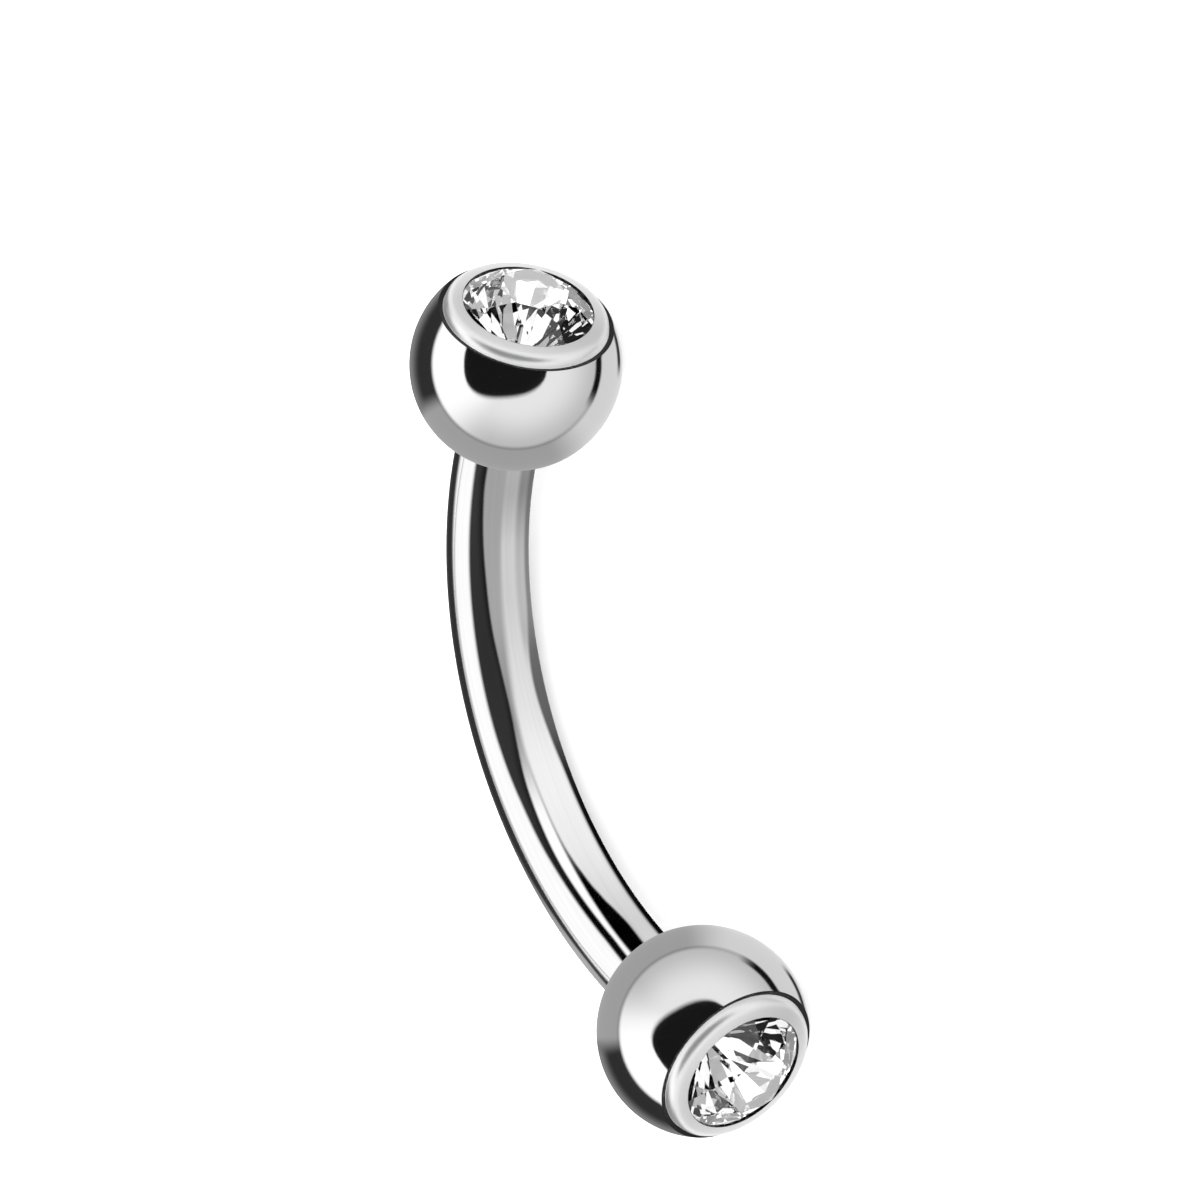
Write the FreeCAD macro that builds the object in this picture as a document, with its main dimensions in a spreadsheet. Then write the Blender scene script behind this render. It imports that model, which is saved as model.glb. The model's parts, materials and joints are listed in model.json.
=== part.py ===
import FreeCAD, Part

import math
import os

import Sketcher
from FreeCAD import Placement, Rotation, Vector

# Curved eyebrow barbell: a bent round bar, a ball screwed on each end and a round
# brilliant in the collar of each ball. Millimetres. It lies as it rests by itself: on both
# balls and on the underside of the bar's middle, with Z up, X along the chord from the
# lower ball to the upper ball and the hollow side of the bend towards -Y. The origin is
# the centre of the bottom of its bounding box.

# Driving dimensions. Levels are measured along a ball's axis, outwards from its centre.
DRIVING = {
    # bar: wear_length is the straight distance between its two shoulders
    "bar_radius": 0.6,
    "wear_length": 8.0,
    "half_bend": 44.5,
    "post_radius": 0.52,
    "post_length": 1.05,
    "post_chamfer": 0.1,
    # ball
    "ball_radius": 1.55,
    "seat_gap": 0.02,
    "bore_radius": 0.55,
    "bore_end_level": -0.34,
    # collar that grips the stone, and the groove round its foot
    "groove_radius": 1.297,
    "groove_level": 0.828,
    "collar_radius": 1.22,
    "collar_level": 0.985,
    "collar_round": 0.16,
    "opening_radius": 0.967,
    "opening_level": 1.045,
    # socket under the collar's lip
    "lip_level": 1.005,
    "socket_radius": 1.02,
    "socket_top_level": 0.965,
    "socket_low_level": 0.9,
    "socket_floor_radius": 0.12,
    "socket_floor_level": 0.0,
    # stone
    "girdle_radius": 1.0,
    "girdle_top_level": 0.962,
    "girdle_low_level": 0.912,
    "table_radius": 0.48,
    "table_level": 1.37,
    "pavilion_slope": 41.0,
    "star_reach": 0.5,
    "lower_half_radius": 0.25,
    "stone_turn": 22.5,
    # wedges that cut the facets
    "wedge_radius": 1.4,
    "wedge_width": 4.0,
    "wedge_top_level": 1.7,
    "wedge_low_level": -0.3,
}

# Facets of the stone, in the order of cutting: how many, the turn of the first one in
# degrees, and whether the crown or the pavilion carries them.
FACETS = {
    "pavilion_main": (8, 0.0, "pavilion"),
    "lower_half": (16, 11.25, "pavilion"),
    "crown_main": (8, 0.0, "crown"),
    "star": (8, 22.5, "crown"),
    "upper_half": (16, 11.25, "crown"),
}

SIDES = {"upper": 1, "lower": -1}
X_WAY, Y_WAY, Z_WAY = Vector(1, 0, 0), Vector(0, 1, 0), Vector(0, 0, 1)


def tan(degrees):
    return math.tan(math.radians(degrees))


def cos(degrees):
    return math.cos(math.radians(degrees))


def sin(degrees):
    return math.sin(math.radians(degrees))


def bend_sizes(size):
    """The bend's radius, where the balls sit on the bar's ends, and the tilt at rest."""
    bend_radius = size["wear_length"] / 2 / sin(size["half_bend"])
    mouth = math.sqrt(size["ball_radius"] ** 2 - size["bar_radius"] ** 2)
    ball_reach = mouth + size["seat_gap"]
    hollow = bend_radius * (1 - cos(size["half_bend"])) + ball_reach * sin(size["half_bend"])
    rise = size["ball_radius"] - size["bar_radius"]
    return {
        "bend_radius": bend_radius,
        "post_top_radius": bend_radius + size["post_radius"],
        "post_edge_radius": bend_radius + size["post_radius"] - size["post_chamfer"],
        "post_edge_length": size["post_length"] - size["post_chamfer"],
        "mouth_level": -mouth,
        "groove_edge_level": math.sqrt(size["ball_radius"] ** 2 - size["groove_radius"] ** 2),
        "ball_reach": ball_reach,
        "rest_tilt": math.degrees(math.asin(rise / hollow)),
    }


def facet_planes(size):
    """For each kind of facet, the radius and level of a point on it and its steepness."""
    girdle = size["girdle_radius"]
    between, aside = 22.5, 11.25
    crown = (size["table_level"] - size["girdle_top_level"]) / (girdle - size["table_radius"])
    pavilion = tan(size["pavilion_slope"])
    star_in = size["table_radius"] * cos(between)
    star_tip = star_in + (girdle - star_in) * size["star_reach"]
    tip_level = size["girdle_top_level"] + (girdle - star_tip * cos(between)) * crown
    low_tip = size["lower_half_radius"]
    low_drop = (girdle - low_tip * cos(between)) * pavilion
    return {
        "pavilion_main": (girdle, size["girdle_low_level"], pavilion),
        "lower_half": (
            girdle * cos(aside),
            size["girdle_low_level"],
            low_drop / ((girdle - low_tip) * cos(aside)),
        ),
        "crown_main": (girdle, size["girdle_top_level"], crown),
        "star": (star_in, size["table_level"], (size["table_level"] - tip_level) / (star_tip - star_in)),
        "upper_half": (
            girdle * cos(aside),
            size["girdle_top_level"],
            (tip_level - size["girdle_top_level"]) / ((girdle - star_tip) * cos(aside)),
        ),
    }


def wedge_sizes(size):
    """Where each facet's plane meets the outer side and the end of the wedge that cuts it."""
    found = {"culet_level": size["girdle_low_level"] - size["girdle_radius"] * tan(size["pavilion_slope"])}
    for kind, (radius, level, steepness) in facet_planes(size).items():
        crown = FACETS[kind][2] == "crown"
        fall = steepness if crown else -steepness
        end = size["wedge_top_level"] if crown else size["wedge_low_level"]
        found[f"{kind}_outer_level"] = level - (size["wedge_radius"] - radius) * fall
        found[f"{kind}_end_radius"] = radius - (end - level) / fall
    return found


def make_sheet(doc, size):
    sheet = doc.addObject("Spreadsheet::Sheet", "sizes")
    for row, (alias, value) in enumerate(size.items(), start=1):
        sheet.set(f"A{row}", alias)
        sheet.set(f"B{row}", f"{value:.9f}")
        sheet.setAlias(f"B{row}", alias)
    doc.recompute()
    return sheet


def origin_feature(body, role):
    return next(item for item in body.Origin.OriginFeatures if item.Role == role)


def add_sketch(body, name, plane, turn_axis=Z_WAY, turn=0.0):
    """A sketch on one of the body's own planes, turned about an axis of the sketch."""
    sketch = body.newObject("Sketcher::SketchObject", name)
    sketch.AttachmentSupport = (origin_feature(body, plane), [""])
    sketch.MapMode = "FlatFace"
    sketch.AttachmentOffset = Placement(Vector(), Rotation(turn_axis, turn))
    return sketch


def bind(sketch, alias, value, kind, *places):
    """A dimension of the sketch that follows a cell of the sheet."""
    index = sketch.addConstraint(Sketcher.Constraint(kind, *places, value))
    sketch.setExpression(f"Constraints[{index}]", f"sizes.{alias}")


def draw_outline(sketch, size, corners, arc=None):
    """A closed outline through corners named by the cells of their two coordinates.

    A coordinate of 0 lies on the axis, and one in brackets is left to the outline's arc. The
    arc, if any, is the number of the side that is part of the ball's own circle.
    """
    values = [
        tuple(0.0 if not name else size[name.strip("()")] for name in corner) for corner in corners
    ]
    for side, (here, there) in enumerate(zip(values, values[1:] + values[:1])):
        if side == arc:
            circle = Part.Circle(Vector(), Z_WAY, size["ball_radius"])
            ends = [math.atan2(point[1], point[0]) for point in (here, there)]
            sketch.addGeometry(Part.ArcOfCircle(circle, *ends), False)
        else:
            sketch.addGeometry(Part.LineSegment(Vector(*here), Vector(*there)), False)
    for side in range(len(corners)):
        sketch.addConstraint(Sketcher.Constraint("Coincident", side, 2, (side + 1) % len(corners), 1))
    if arc is not None:
        sketch.addConstraint(Sketcher.Constraint("Coincident", arc, 3, -1, 1))
        bind(sketch, "ball_radius", size["ball_radius"], "Radius", arc)
    for side, corner in enumerate(corners):
        for kind, name, value, axis in zip(("DistanceX", "DistanceY"), corner, values[side], (-2, -1)):
            if not name:
                sketch.addConstraint(Sketcher.Constraint("PointOnObject", side, 1, axis))
            elif not name.startswith("("):
                bind(sketch, name, value, kind, -1, 1, side, 1)


def revolve(body, name, sketch, axis, angle_alias=None):
    """A solid of revolution, whole or spread evenly to both sides of its sketch."""
    solid = body.newObject("PartDesign::Revolution", name)
    solid.Profile = sketch
    solid.ReferenceAxis = (sketch, [axis])
    solid.Angle = 360.0
    if angle_alias:
        solid.Midplane = True
        solid.setExpression("Angle", f"2 * sizes.{angle_alias}")
    return solid


def make_bar(doc, size):
    """The bar: an arc about the body's Z axis, its middle on Y, with a post at each end."""
    body = doc.addObject("PartDesign::Body", "curved_bar")
    section = add_sketch(body, "bar_section", "YZ_Plane")
    circle = Part.Circle(Vector(size["bend_radius"], 0, 0), Z_WAY, size["bar_radius"])
    section.addGeometry(circle, False)
    section.addConstraint(Sketcher.Constraint("PointOnObject", 0, 3, -1))
    bind(section, "bend_radius", size["bend_radius"], "DistanceX", -1, 1, 0, 3)
    bind(section, "bar_radius", size["bar_radius"], "Radius", 0)
    revolve(body, "bent_shaft", section, "V_Axis", "half_bend")
    doc.recompute()

    profile = add_sketch(body, "post_profile", "XY_Plane", Z_WAY, -size["half_bend"])
    profile.setExpression("AttachmentOffset.Rotation.Angle", "-sizes.half_bend")
    corners = [
        (0, "bend_radius"),
        ("post_length", "bend_radius"),
        ("post_length", "post_edge_radius"),
        ("post_edge_length", "post_top_radius"),
        (0, "post_top_radius"),
    ]
    draw_outline(profile, size, corners)
    middle = profile.addGeometry(
        Part.LineSegment(Vector(0, size["bend_radius"], 0), Vector(1, size["bend_radius"], 0)), True
    )
    profile.addConstraint(Sketcher.Constraint("Coincident", middle, 1, 0, 1))
    profile.addConstraint(Sketcher.Constraint("Coincident", middle, 2, 0, 2))
    post = revolve(body, "post", profile, "Axis0")
    doc.recompute()

    pair = body.newObject("PartDesign::Mirrored", "both_posts")
    pair.Originals = [post]
    pair.MirrorPlane = (origin_feature(body, "YZ_Plane"), [""])
    body.Tip = pair
    return body


def make_ball(doc, size, name):
    """A ball turned about Z, its mouth for the bar below and its collar for the stone above."""
    body = doc.addObject("PartDesign::Body", name)
    profile = add_sketch(body, f"{name}_profile", "XZ_Plane")
    corners = [
        (0, "bore_end_level"),
        ("bore_radius", "bore_end_level"),
        ("bore_radius", "(mouth_level)"),
        ("bar_radius", "(mouth_level)"),
        ("groove_radius", "(groove_edge_level)"),
        ("collar_radius", "groove_level"),
        ("collar_radius", "collar_level"),
        ("opening_radius", "opening_level"),
        ("opening_radius", "lip_level"),
        ("socket_radius", "socket_top_level"),
        ("socket_radius", "socket_low_level"),
        ("socket_floor_radius", "socket_floor_level"),
        (0, "socket_floor_level"),
    ]
    mouth_side, sphere_side = 2, 3
    draw_outline(profile, size, corners, arc=sphere_side)
    profile.addConstraint(Sketcher.Constraint("Horizontal", mouth_side))
    turned = revolve(body, f"{name}_turned", profile, "V_Axis")
    doc.recompute()

    rounded = body.newObject("PartDesign::Fillet", f"{name}_collar_round")
    rounded.Base = (turned, [collar_edge(turned.Shape, size)])
    rounded.Radius = size["collar_round"]
    rounded.setExpression("Radius", "sizes.collar_round")
    body.Tip = rounded
    return body


def collar_edge(shape, size):
    """The name of the circular edge round the top of the collar."""
    for number, edge in enumerate(shape.Edges, start=1):
        curve = edge.Curve
        if not isinstance(curve, Part.Circle):
            continue
        level = curve.Center.z - size["collar_level"]
        if abs(curve.Radius - size["collar_radius"]) < 1e-6 and abs(level) < 1e-6:
            return f"Edge{number}"
    raise RuntimeError("the collar has no top edge")


def make_stone(doc, size, name):
    """A round brilliant: a round blank with each kind of facet cut in a ring about Z."""
    body = doc.addObject("PartDesign::Body", name)
    profile = add_sketch(body, f"{name}_blank_profile", "XZ_Plane")
    corners = [
        (0, "culet_level"),
        ("girdle_radius", "culet_level"),
        ("girdle_radius", "table_level"),
        (0, "table_level"),
    ]
    draw_outline(profile, size, corners)
    revolve(body, f"{name}_blank", profile, "V_Axis")
    doc.recompute()
    for kind, (count, turn, part) in FACETS.items():
        left = body.Tip.Shape.Volume
        cut_facets(doc, body, size, f"{name}_{kind}", kind, count, turn, part)
        if body.Tip.Shape.Volume > left - 1e-6:
            raise RuntimeError(f"the {kind} facets of {name} cut nothing")
    return body


def cut_facets(doc, body, size, name, kind, count, turn, part):
    """One ring of equal facets, cut by a wedge whose sloping side is the facet's plane."""
    wedge = add_sketch(body, f"{name}_wedge", "XZ_Plane", Y_WAY, turn)
    end = "wedge_top_level" if part == "crown" else "wedge_low_level"
    corners = [
        ("wedge_radius", f"{kind}_outer_level"),
        ("wedge_radius", end),
        (f"{kind}_end_radius", end),
    ]
    draw_outline(wedge, size, corners)
    cut = body.newObject("PartDesign::Pocket", f"{name}_cut")
    cut.Profile = wedge
    cut.Midplane = True
    cut.Length = size["wedge_width"]
    cut.setExpression("Length", "sizes.wedge_width")
    doc.recompute()
    ring = body.newObject("PartDesign::PolarPattern", f"{name}_ring")
    ring.Originals = [cut]
    ring.Axis = (origin_feature(body, "Z_Axis"), [""])
    ring.Angle = 360.0
    ring.Occurrences = count
    body.Tip = ring
    doc.recompute()


def arc_placement(size, shift):
    """From the bar's own frame to the one in which it rests, shifted along Y."""
    tilt = size["rest_tilt"]
    centre = Vector(
        0,
        shift - size["bend_radius"] * cos(tilt),
        size["bar_radius"] + size["bend_radius"] * sin(tilt),
    )
    return Placement(centre, Rotation(X_WAY, -tilt))


def end_placement(size, side, turn):
    """From a ball's own frame to the bar's: at the bar's end, its axis along the bar."""
    angle, reach = size["half_bend"], size["ball_reach"]
    centre = Vector(
        side * (size["bend_radius"] * sin(angle) + reach * cos(angle)),
        size["bend_radius"] * cos(angle) - reach * sin(angle),
        0,
    )
    way = Rotation(Z_WAY, -side * angle) * Rotation(Y_WAY, side * 90) * Rotation(Z_WAY, turn)
    return Placement(centre, way)


def place(bodies, size, shift):
    rest = arc_placement(size, shift)
    bodies["curved_bar"].Placement = rest
    for end, side in SIDES.items():
        bodies[f"{end}_ball"].Placement = rest * end_placement(size, side, 0)
        bodies[f"{end}_stone"].Placement = rest * end_placement(size, side, side * size["stone_turn"])


def whole_box(bodies):
    box = FreeCAD.BoundBox()
    for body in bodies.values():
        box.add(body.Shape.optimalBoundingBox(False, False))
    return box


def check(doc, bodies):
    for item in doc.Objects:
        if {"Invalid", "Error"} & set(item.State):
            raise RuntimeError(f"{item.Name} failed: {item.State}")
    for name, body in bodies.items():
        shape = body.Shape
        if shape.isNull() or not shape.isValid() or len(shape.Solids) != 1:
            raise RuntimeError(f"{name} isn't one valid solid")


def main():
    size = dict(DRIVING)
    size.update(bend_sizes(size))
    size.update(wedge_sizes(size))
    doc = FreeCAD.newDocument("curved_barbell")
    make_sheet(doc, size)

    bodies = {"curved_bar": make_bar(doc, size)}
    for end in SIDES:
        bodies[f"{end}_ball"] = make_ball(doc, size, f"{end}_ball")
        bodies[f"{end}_stone"] = make_stone(doc, size, f"{end}_stone")
    for name, body in bodies.items():
        body.Label = name

    place(bodies, size, 0)
    doc.recompute()
    box = whole_box(bodies)
    place(bodies, size, -(box.YMin + box.YMax) / 2)
    doc.recompute()
    check(doc, bodies)

    os.makedirs("parts", exist_ok=True)
    for name, body in bodies.items():
        body.Shape.exportStep(f"parts/{name}.step")
        print(f"{name}: {body.Shape.Volume:.4f} mm3")
    box = whole_box(bodies)
    print(f"box X {box.XMin:.4f} {box.XMax:.4f} Y {box.YMin:.4f} {box.YMax:.4f}")
    print(f"box Z {box.ZMin:.4f} {box.ZMax:.4f}, rest tilt {size['rest_tilt']:.3f} degrees")


main()
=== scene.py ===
import functools
import json
import math

import bmesh
import bpy
from bpy.props import FloatProperty, FloatVectorProperty, IntProperty, PointerProperty
from mathutils import Matrix, Vector


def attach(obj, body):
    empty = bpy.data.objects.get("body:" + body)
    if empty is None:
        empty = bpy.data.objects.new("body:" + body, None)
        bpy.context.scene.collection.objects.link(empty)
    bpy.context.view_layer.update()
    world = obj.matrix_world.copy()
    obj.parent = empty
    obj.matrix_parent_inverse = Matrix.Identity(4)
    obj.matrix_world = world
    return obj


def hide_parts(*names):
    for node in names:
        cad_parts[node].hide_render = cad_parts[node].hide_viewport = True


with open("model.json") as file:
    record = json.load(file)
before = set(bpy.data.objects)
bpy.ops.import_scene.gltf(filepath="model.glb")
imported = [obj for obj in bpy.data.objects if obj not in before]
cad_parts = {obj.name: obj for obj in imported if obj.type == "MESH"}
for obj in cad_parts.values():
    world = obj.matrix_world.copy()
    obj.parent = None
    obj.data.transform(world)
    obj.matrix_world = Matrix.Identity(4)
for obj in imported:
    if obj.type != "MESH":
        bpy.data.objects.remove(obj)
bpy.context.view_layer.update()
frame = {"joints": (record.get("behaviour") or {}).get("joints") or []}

bl_info = {
    "name": "Curved barbell with stone-set balls",
    "version": (1, 0, 0),
    "blender": (4, 5, 0),
    "location": "3D View > Sidebar > Barbell",
    "description": "Makes a polished curved barbell, its two collared balls and their brilliants",
    "category": "Add Mesh",
}

MILLIMETRES = 1000.0
SHARP_ANGLE = math.radians(30.0)
# Stone facets that meet at less than this are one facet.
FLAT_ANGLE = math.radians(0.5)
# Mirror rays that travel further than this to a stone come from the bar or from the other end.
NEAR_REACH = 0.003
SIDES = ("upper", "lower")
JOINTS = {joint["name"]: joint for joint in frame["joints"]}
BALL_CENTRE = {side: Vector(JOINTS[f"{side}_ball_turn"]["pos_m"]) for side in SIDES}
BALL_AXIS = {side: Vector(JOINTS[f"{side}_ball_turn"]["axis"]).normalized() for side in SIDES}
CHORD = (BALL_CENTRE["upper"] - BALL_CENTRE["lower"]).normalized()
BEND_NORMAL = BALL_AXIS["upper"].cross(BALL_AXIS["lower"]).normalized()
if BEND_NORMAL.z < 0:
    BEND_NORMAL.negate()
BULGE = BEND_NORMAL.cross(CHORD)
HALF_BEND = math.acos(BALL_AXIS["upper"].dot(CHORD))

# The direction towards the viewer is given by its shares along the chord and the bulge, and the
# camera's roll by the direction in the image of the line from the lower ball to the upper one.
VIEW_ALONG_CHORD = -0.02
VIEW_ALONG_BULGE = -0.833
CHORD_RIGHT, CHORD_UP = -0.2702, 0.9628
TO_VIEWER = (
    CHORD * VIEW_ALONG_CHORD
    + BULGE * VIEW_ALONG_BULGE
    + BEND_NORMAL * math.sqrt(1.0 - VIEW_ALONG_CHORD**2 - VIEW_ALONG_BULGE**2)
)
SEEN_CHORD = (CHORD - TO_VIEWER * VIEW_ALONG_CHORD).normalized()
IMAGE_RIGHT = (SEEN_CHORD * CHORD_RIGHT + SEEN_CHORD.cross(TO_VIEWER) * CHORD_UP).normalized()
IMAGE_UP = TO_VIEWER.cross(IMAGE_RIGHT)


# Properties


def field(kind, name, description, default, **limits):
    return kind(name=name, description=description, default=default, **limits)


real = functools.partial(field, FloatProperty)
length = functools.partial(real, unit="LENGTH", precision=6)
share = functools.partial(real, min=0.0, max=1.0, subtype="FACTOR")
angle = functools.partial(real, subtype="ANGLE")
count = functools.partial(field, IntProperty, min=3)
colour = functools.partial(field, FloatVectorProperty, subtype="COLOR", min=0.0, max=1.0)


class BarbellBarSizes(bpy.types.PropertyGroup):
    """Sizes of the bent bar and of the posts at its ends."""

    radius: length("Bar radius", "Radius of the round bar", 0.0006)
    post_radius: length("Post radius", "Radius of the post inside a ball", 0.00052)
    post_length: length("Post length", "Length of a post with its chamfer", 0.00105)
    post_chamfer: length("Post chamfer", "Chamfer round the end of a post", 0.0001)
    steps_along: count("Steps along", "Steps along the bend", 192)
    steps_round: count("Steps round", "Steps round the bar", 128)


class BarbellBallSizes(bpy.types.PropertyGroup):
    """Sizes of a ball. Levels are measured along its axis, outwards from its centre."""

    radius: length("Ball radius", "Radius of the ball", 0.00155)
    seat_gap: length("Seat gap", "Gap between the bar's shoulder and the ball's seat", 0.00002)
    bore_radius: length("Bore radius", "Radius of the bore for the post", 0.00055)
    bore_end: length("Bore end", "Level of the bore's end", -0.00034)
    groove_radius: length("Groove radius", "Outer radius of the groove round the collar", 0.001297)
    groove_level: length("Groove level", "Level of the groove at the collar's foot", 0.000828)
    collar_radius: length("Collar radius", "Outer radius of the collar", 0.00122)
    collar_level: length("Collar level", "Level of the collar's outer edge", 0.000985)
    collar_round: length("Collar rounding", "Reach of the rounding of its outer edge", 0.00013)
    opening_radius: length("Opening radius", "Radius of the collar's opening", 0.000967)
    opening_level: length("Opening level", "Level of the collar's inner edge", 0.001045)
    lip_level: length("Lip level", "Level of the underside of the lip over the stone", 0.001005)
    socket_radius: length("Socket radius", "Radius of the socket round the girdle", 0.00102)
    socket_top: length("Socket top", "Level of the top of the socket's wall", 0.000965)
    socket_low: length("Socket foot", "Level of the foot of the socket's wall", 0.0009)
    floor_radius: length("Socket floor radius", "Radius of the socket's flat floor", 0.00012)
    edge_round: length("Edge rounding", "Rounding of the small edges", 0.000008)
    steps_round: count("Steps round", "Steps round the ball", 192)
    steps_arc: count("Steps on the arc", "Steps from the seat to the groove", 80)
    steps_edge: count("Steps of an edge", "Steps across a rounded edge", 8)


class BarbellStoneSizes(bpy.types.PropertyGroup):
    """Sizes of a round brilliant. Levels are measured along the ball's axis."""

    girdle_radius: length("Girdle radius", "Radius of the stone at its girdle", 0.001)
    girdle_top: length("Girdle top", "Level of the girdle's upper edge", 0.000962)
    girdle_low: length("Girdle foot", "Level of the girdle's lower edge", 0.000912)
    table_radius: length("Table radius", "Radius of the table at its corners", 0.00048)
    table_level: length("Table level", "Level of the table", 0.00137)
    pavilion_slope: angle("Pavilion slope", "Slope of its main facets", math.radians(41.0))
    star_reach: share("Star reach", "Reach of a star facet from the table to the girdle", 0.5)
    lower_half_radius: length("Lower half radius", "Radius the lower halves reach to", 0.00025)
    folds: count("Folds", "How many times the pattern repeats round the stone", 8)
    turn: angle("Turn", "Turn of the stones, mirrored at the lower end", math.radians(22.5))
    girdle_steps: count("Girdle steps", "Steps of the girdle along one half facet", 6)
    back_below: real("Back below", "Facets that face the axis less than this are foiled", -0.1)
    weld: length("Weld distance", "Points of the slices nearer than this are joined", 0.0000005)


class BarbellFinish(bpy.types.PropertyGroup):
    """Colours and finishes."""

    steel: colour("Steel", "Colour of the polished steel", (0.80, 0.80, 0.805))
    # Near black, painted into the bore, the groove and the socket as their shade.
    painted_shade_steel: colour("Shaded steel", "Colour of the steel's hollows", (0.03, 0.03, 0.03))
    steel_roughness: share("Steel roughness", "Roughness of the polished steel", 0.06)
    satin_grey: share("Satin grey", "How much of the collar's satin surface scatters light", 0.12)
    foil: colour("Foil", "Colour of the foil behind the stone", (0.95, 0.95, 0.955))
    crystal: colour("Crystal", "Colour of the clear crystal", (1.0, 1.0, 1.0))
    floor: colour("Floor", "Colour of the floor", (0.93, 0.93, 0.93))


class BarbellStage(bpy.types.PropertyGroup):
    """Camera, floor and light."""

    balls_apart: share("Balls apart", "Distance between them, as a share of the view", 0.5773)
    balls_right: share("Balls right", "Their middle right of the view's, likewise", 0.0078)
    balls_below: share("Balls below", "Their middle below the view's, likewise", 0.0878)
    camera_distance: length("Camera distance", "From the camera to the object", 0.2)
    floor_width: length("Floor width", "Width of the floor", 3.0)
    tent_radius: length("Tent radius", "Radius of the smallest light tent", 0.6)
    lower_turn: angle("Lower turn", "Turn of the lower end's tents", math.radians(33.0))
    light: real("Light", "Strength of the even light", 2.4, min=0.0)


# Shader maths

# The numbers of a colour Mix node's two colour inputs.
COLOUR_A, COLOUR_B = 6, 7
# The numbers of the outputs with an object's own place, an attribute's number, a cell's colour.
OBJECT_PLACE, ATTRIBUTE_NUMBER, CELL_COLOUR = 3, 2, 1
# Keeps what is divided by above 0.
TINY = 1e-6


class Value:
    """A number in a node tree. Python's operators on it add the Math nodes."""

    def __init__(self, maker, socket):
        self.maker = maker
        self.socket = socket

    def math(self, operation, *others):
        inputs = [self, *others]
        return self.maker.add("ShaderNodeMath", {"operation": operation}, inputs)[0]

    def __add__(self, other):
        return self.math("ADD", other)

    __radd__ = __add__

    def __mul__(self, other):
        return self.math("MULTIPLY", other)

    __rmul__ = __mul__

    def __sub__(self, other):
        return self.math("SUBTRACT", other)

    def __rsub__(self, other):
        return (self * -1.0) + other

    def __truediv__(self, other):
        return self.math("DIVIDE", other)


class NodeMaker:
    """Adds the nodes of a tree, shader or geometry."""

    def __init__(self, tree):
        self.tree = tree
        for node in list(tree.nodes):
            tree.nodes.remove(node)

    def add(self, kind, settings=None, values=()):
        """A node of a type, with its settings, then the values or links of its sockets.

        The values come in the sockets' order or by their names or numbers. What comes back are
        the node's outputs that are in use, each wrapped.
        """
        node = self.tree.nodes.new(kind)
        for name, setting in (settings or {}).items():
            setattr(node, name, setting)
        pairs = values.items() if isinstance(values, dict) else enumerate(values)
        for key, value in pairs:
            socket = node.inputs[key]
            if isinstance(value, Value):
                self.tree.links.new(value.socket, socket)
            elif value is not None:
                socket.default_value = value
        return [Value(self, output) for output in node.outputs if output.enabled]

    def named(self, kind):
        """A node's outputs by name."""
        return {value.socket.name: value for value in self.add(kind)}

    def one(self, kind, values=(), **settings):
        """The first output of a node."""
        return self.add(kind, settings, values)[0]

    def show(self, shader):
        """Makes a shader the material's surface."""
        self.add("ShaderNodeOutputMaterial", None, {"Surface": shader})

    def dot(self, vector, constant):
        return self.vector_math("DOT_PRODUCT", vector, tuple(constant))

    def vector_math(self, operation, *inputs):
        return self.add("ShaderNodeVectorMath", {"operation": operation}, inputs)[0]

    def noise(self, place, scale, detail, distortion=0.0):
        """A noise pattern over a place, with values from 0 to 1."""
        values = {"Vector": place, "Scale": scale, "Detail": detail, "Distortion": distortion}
        return self.add("ShaderNodeTexNoise", None, values)[0]

    def smooth(self, value, start, end):
        """0 up to start and 1 from end on, smooth between. Start may be the higher of the two."""
        flip = start > end
        low, high = (end, start) if flip else (start, end)
        settings = {"interpolation_type": "SMOOTHSTEP"}
        values = {"Value": value, "From Min": low, "From Max": high}
        rise = self.add("ShaderNodeMapRange", settings, values)[0]
        return 1.0 - rise if flip else rise

    def curve(self, value, stops, low, high):
        """A smooth curve through (position, height) stops, for heights from low to high."""
        curve = self.one("ShaderNodeValToRGB", [value])
        ramp = curve.socket.node.color_ramp
        while len(ramp.elements) > 1:
            ramp.elements.remove(ramp.elements[-1])
        for number, (position, height) in enumerate(stops):
            element = ramp.elements[0] if number == 0 else ramp.elements.new(position)
            element.position = position
            element.color = (*[(height - low) / (high - low)] * 3, 1.0)
        ramp.interpolation = "CARDINAL"
        return curve * (high - low) + low

    def mix_colour(self, factor, low, high):
        """A colour between low, where factor is 0, and high, where it is 1."""
        values = {"Factor": factor, COLOUR_A: low, COLOUR_B: high}
        return self.one("ShaderNodeMix", values, data_type="RGBA")

    def between(self, low, high, factor):
        """low where factor is 0, and high where it is 1."""
        return (1.0 - factor) * low + factor * high


# Materials

# The scales of the steel's patterns, per metre, and per millimetre for the turning marks.
HAZE_SCALE, GRAIN_SCALE, WEAR_SCALE, MARKS_SCALE = 700.0, 24000.0, 3000.0, 60.0
WEAR_DISTORTION = 1.5
# What the patterns add to the roughness, and what the satin and the hollows start from.
HAZE_ROUGHNESS, MARKS_ROUGHNESS, SATIN_SPREAD = 0.03, 0.01, 0.12
SATIN_ROUGHNESS, SHADED_ROUGHNESS = 0.24, 0.5
# The depth of the turning marks beside the grain's.
SATIN_MARKS, POLISHED_MARKS = 5.0, 0.3
RELIEF_STRENGTH, RELIEF_DEPTH = 0.06, 0.000002
# The share of its colour that the steel keeps where its haze is 0.
STEEL_KEPT = 0.94
CRYSTAL_IOR = 1.6


def new_material(name):
    material = bpy.data.materials.new(name)
    material.use_nodes = True
    return material, NodeMaker(material.node_tree)


def opaque(shade, kept=1.0):
    """A share of a colour, with full alpha."""
    return (*(part * kept for part in shade), 1.0)


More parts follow.
